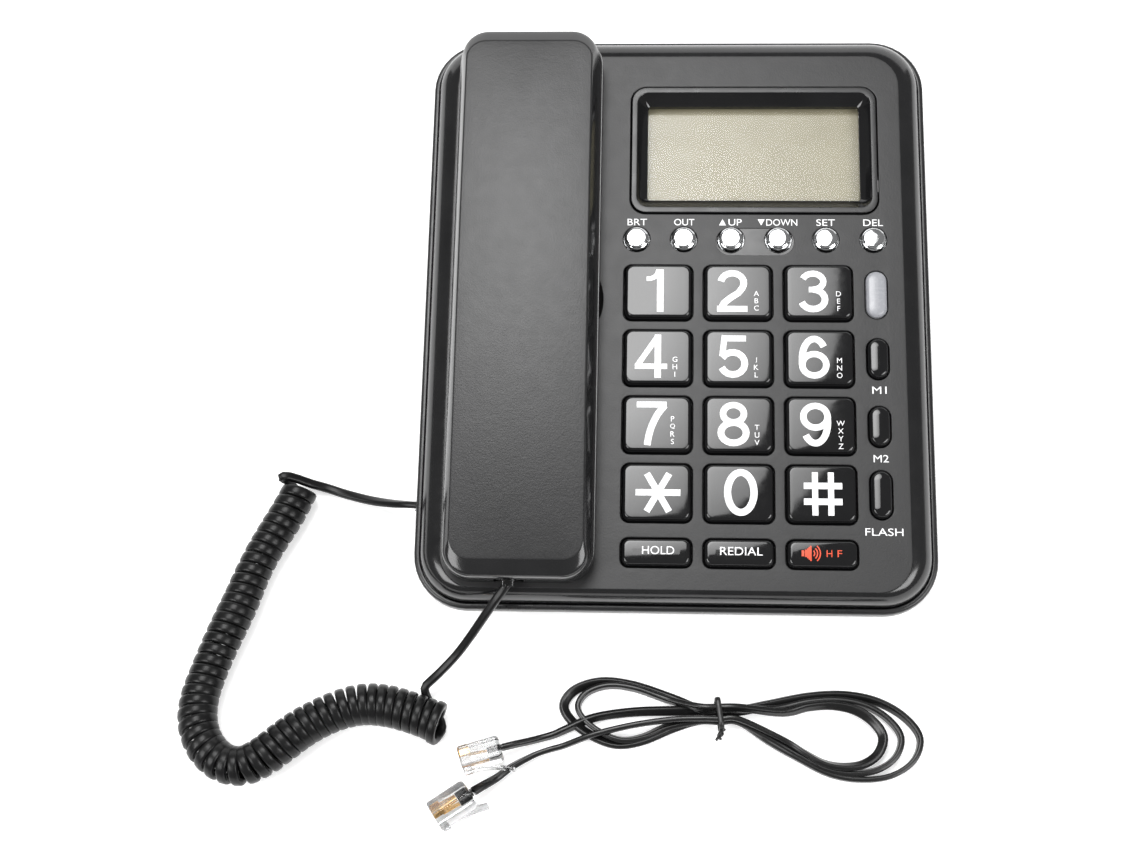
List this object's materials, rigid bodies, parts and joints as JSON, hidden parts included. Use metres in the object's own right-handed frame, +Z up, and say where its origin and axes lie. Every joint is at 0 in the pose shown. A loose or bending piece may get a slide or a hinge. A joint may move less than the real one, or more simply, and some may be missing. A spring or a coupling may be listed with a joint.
{
  "type": "corded telephone",
  "caption": "Sloping desk telephone with large keys, a display, a cradled handset on a curly cord, and a tied flat line cord lying in front.",
  "frame": {"origin": "centre of the base in plan, on the surface that the feet stand on; cords not counted", "axes": "+X to the user's right, +Y away from the user, +Z up"},
  "size_m": [0.232, 0.2554, 0.0671],
  "materials": {
    "rim_plastic": "satin injection-moulded ABS, dark charcoal",
    "top_plastic": "charcoal ABS with a fine spark texture on top and a polished shoulder",
    "handset_plastic": "charcoal ABS with a fine spark texture on top and polished sides",
    "bezel_gloss": "glossy black ABS",
    "display_glass": "clear polished acrylic",
    "lcd": "beige-green reflective liquid crystal cell, satin polariser",
    "circuit_board": "green solder mask",
    "membrane_rubber": "pale silicone rubber",
    "lens_white": "milky translucent polystyrene",
    "black_plastic": "plain black moulding",
    "speaker_metal": "pressed steel",
    "foot_rubber": "moulded rubber, satin",
    "screw_steel": "zinc-plated steel",
    "battery_wrap": "printed metallic sleeve, plain",
    "key_gloss": "glossy black key cap with printed white digits",
    "button_chrome": "chrome-plated plastic, mirror",
    "plug_clear": "clear polycarbonate with gold-plated contacts",
    "cord_pvc": "satin black PVC sheath",
    "line_pvc": "satin black PVC flat sheath"
  },
  "bodies": {
    "base": {"lower_housing": "rim_plastic", "upper_housing": "top_plastic", "display_bezel": "bezel_gloss", "display_window": "display_glass", "lcd_panel": "lcd", "main_board": "circuit_board", "keypad_board": "circuit_board", "keypad_membrane": "membrane_rubber", "indicator_lens": "lens_white", "handset_jack": "black_plastic", "line_jack": "black_plastic", "loudspeaker": "speaker_metal", "feet": "foot_rubber", "case_screws": "screw_steel", "batteries": "battery_wrap", "battery_contacts": "screw_steel", "base_plug": "plug_clear", "handset_lead": "cord_pvc", "cord_coil": "cord_pvc", "base_lead": "cord_pvc"},
    "handset": {"handset_outer_shell": "handset_plastic", "handset_inner_shell": "rim_plastic", "earpiece": "speaker_metal", "microphone": "speaker_metal", "handset_weight": "speaker_metal", "handset_screws": "screw_steel", "handset_socket": "black_plastic", "handset_plug": "plug_clear"},
    "hook": {"hook_switch": "black_plastic"},
    "line_cord": {"line_hank": "line_pvc", "line_lead_a": "line_pvc", "line_lead_b": "line_pvc", "line_plug_a": "plug_clear", "line_plug_b": "plug_clear", "cord_tie": "black_plastic"},
    "battery_cover": {"battery_door": "rim_plastic"},
    "key_1": {"key_1": "key_gloss"},
    "key_2": {"key_2": "key_gloss"},
    "key_3": {"key_3": "key_gloss"},
    "key_4": {"key_4": "key_gloss"},
    "key_5": {"key_5": "key_gloss"},
    "key_6": {"key_6": "key_gloss"},
    "key_7": {"key_7": "key_gloss"},
    "key_8": {"key_8": "key_gloss"},
    "key_9": {"key_9": "key_gloss"},
    "key_star": {"key_star": "key_gloss"},
    "key_0": {"key_0": "key_gloss"},
    "key_hash": {"key_hash": "key_gloss"},
    "key_hold": {"key_hold": "key_gloss"},
    "key_redial": {"key_redial": "key_gloss"},
    "key_handsfree": {"key_handsfree": "key_gloss"},
    "button_brt": {"button_brt": "button_chrome"},
    "button_out": {"button_out": "button_chrome"},
    "button_up": {"button_up": "button_chrome"},
    "button_down": {"button_down": "button_chrome"},
    "button_set": {"button_set": "button_chrome"},
    "button_del": {"button_del": "button_chrome"},
    "button_m1": {"button_m1": "key_gloss"},
    "button_m2": {"button_m2": "key_gloss"},
    "button_flash": {"button_flash": "key_gloss"}
  },
  "joints": [
    {"name": "handset_lift", "type": "slide", "parent": "base", "child": "handset", "axis": [0, -0.1478, 0.989], "range_m": [0, 0.07]},
    {"name": "hook_rise", "type": "slide", "parent": "base", "child": "hook", "axis": [0, -0.1478, 0.989], "range_m": [0, 0.0035]},
    {"name": "line_cord_lift", "type": "slide", "parent": "base", "child": "line_cord", "axis": [0, 0, 1], "range_m": [0, 0.05]},
    {"name": "battery_door_slide", "type": "slide", "parent": "base", "child": "battery_cover", "axis": [0, 1, 0], "range_m": [0, 0.03]},
    {"name": "key_1_press", "type": "slide", "parent": "base", "child": "key_1", "axis": [0, 0.1478, -0.989], "range_m": [0, 0.0016], "stiffness_N_per_m": 350},
    {"name": "key_2_press", "type": "slide", "parent": "base", "child": "key_2", "axis": [0, 0.1478, -0.989], "range_m": [0, 0.0016], "stiffness_N_per_m": 350},
    {"name": "key_3_press", "type": "slide", "parent": "base", "child": "key_3", "axis": [0, 0.1478, -0.989], "range_m": [0, 0.0016], "stiffness_N_per_m": 350},
    {"name": "key_4_press", "type": "slide", "parent": "base", "child": "key_4", "axis": [0, 0.1478, -0.989], "range_m": [0, 0.0016], "stiffness_N_per_m": 350},
    {"name": "key_5_press", "type": "slide", "parent": "base", "child": "key_5", "axis": [0, 0.1478, -0.989], "range_m": [0, 0.0016], "stiffness_N_per_m": 350},
    {"name": "key_6_press", "type": "slide", "parent": "base", "child": "key_6", "axis": [0, 0.1478, -0.989], "range_m": [0, 0.0016], "stiffness_N_per_m": 350},
    {"name": "key_7_press", "type": "slide", "parent": "base", "child": "key_7", "axis": [0, 0.1478, -0.989], "range_m": [0, 0.0016], "stiffness_N_per_m": 350},
    {"name": "key_8_press", "type": "slide", "parent": "base", "child": "key_8", "axis": [0, 0.1478, -0.989], "range_m": [0, 0.0016], "stiffness_N_per_m": 350},
    {"name": "key_9_press", "type": "slide", "parent": "base", "child": "key_9", "axis": [0, 0.1478, -0.989], "range_m": [0, 0.0016], "stiffness_N_per_m": 350},
    {"name": "key_star_press", "type": "slide", "parent": "base", "child": "key_star", "axis": [0, 0.1478, -0.989], "range_m": [0, 0.0016], "stiffness_N_per_m": 350},
    {"name": "key_0_press", "type": "slide", "parent": "base", "child": "key_0", "axis": [0, 0.1478, -0.989], "range_m": [0, 0.0016], "stiffness_N_per_m": 350},
    {"name": "key_hash_press", "type": "slide", "parent": "base", "child": "key_hash", "axis": [0, 0.1478, -0.989], "range_m": [0, 0.0016], "stiffness_N_per_m": 350},
    {"name": "key_hold_press", "type": "slide", "parent": "base", "child": "key_hold", "axis": [0, 0.1478, -0.989], "range_m": [0, 0.0016], "stiffness_N_per_m": 350},
    {"name": "key_redial_press", "type": "slide", "parent": "base", "child": "key_redial", "axis": [0, 0.1478, -0.989], "range_m": [0, 0.0016], "stiffness_N_per_m": 350},
    {"name": "key_handsfree_press", "type": "slide", "parent": "base", "child": "key_handsfree", "axis": [0, 0.1478, -0.989], "range_m": [0, 0.0016], "stiffness_N_per_m": 350},
    {"name": "button_brt_press", "type": "slide", "parent": "base", "child": "button_brt", "axis": [0, 0.1478, -0.989], "range_m": [0, 0.0016], "stiffness_N_per_m": 300},
    {"name": "button_out_press", "type": "slide", "parent": "base", "child": "button_out", "axis": [0, 0.1478, -0.989], "range_m": [0, 0.0016], "stiffness_N_per_m": 300},
    {"name": "button_up_press", "type": "slide", "parent": "base", "child": "button_up", "axis": [0, 0.1478, -0.989], "range_m": [0, 0.0016], "stiffness_N_per_m": 300},
    {"name": "button_down_press", "type": "slide", "parent": "base", "child": "button_down", "axis": [0, 0.1478, -0.989], "range_m": [0, 0.0016], "stiffness_N_per_m": 300},
    {"name": "button_set_press", "type": "slide", "parent": "base", "child": "button_set", "axis": [0, 0.1478, -0.989], "range_m": [0, 0.0016], "stiffness_N_per_m": 300},
    {"name": "button_del_press", "type": "slide", "parent": "base", "child": "button_del", "axis": [0, 0.1478, -0.989], "range_m": [0, 0.0016], "stiffness_N_per_m": 300},
    {"name": "button_m1_press", "type": "slide", "parent": "base", "child": "button_m1", "axis": [0, 0.1478, -0.989], "range_m": [0, 0.0016], "stiffness_N_per_m": 300},
    {"name": "button_m2_press", "type": "slide", "parent": "base", "child": "button_m2", "axis": [0, 0.1478, -0.989], "range_m": [0, 0.0016], "stiffness_N_per_m": 300},
    {"name": "button_flash_press", "type": "slide", "parent": "base", "child": "button_flash", "axis": [0, 0.1478, -0.989], "range_m": [0, 0.0016], "stiffness_N_per_m": 300}
  ],
  "couplings": [
    {"joint": "hook_rise", "follows": "handset_lift", "ratio": 0.05}
  ]
}
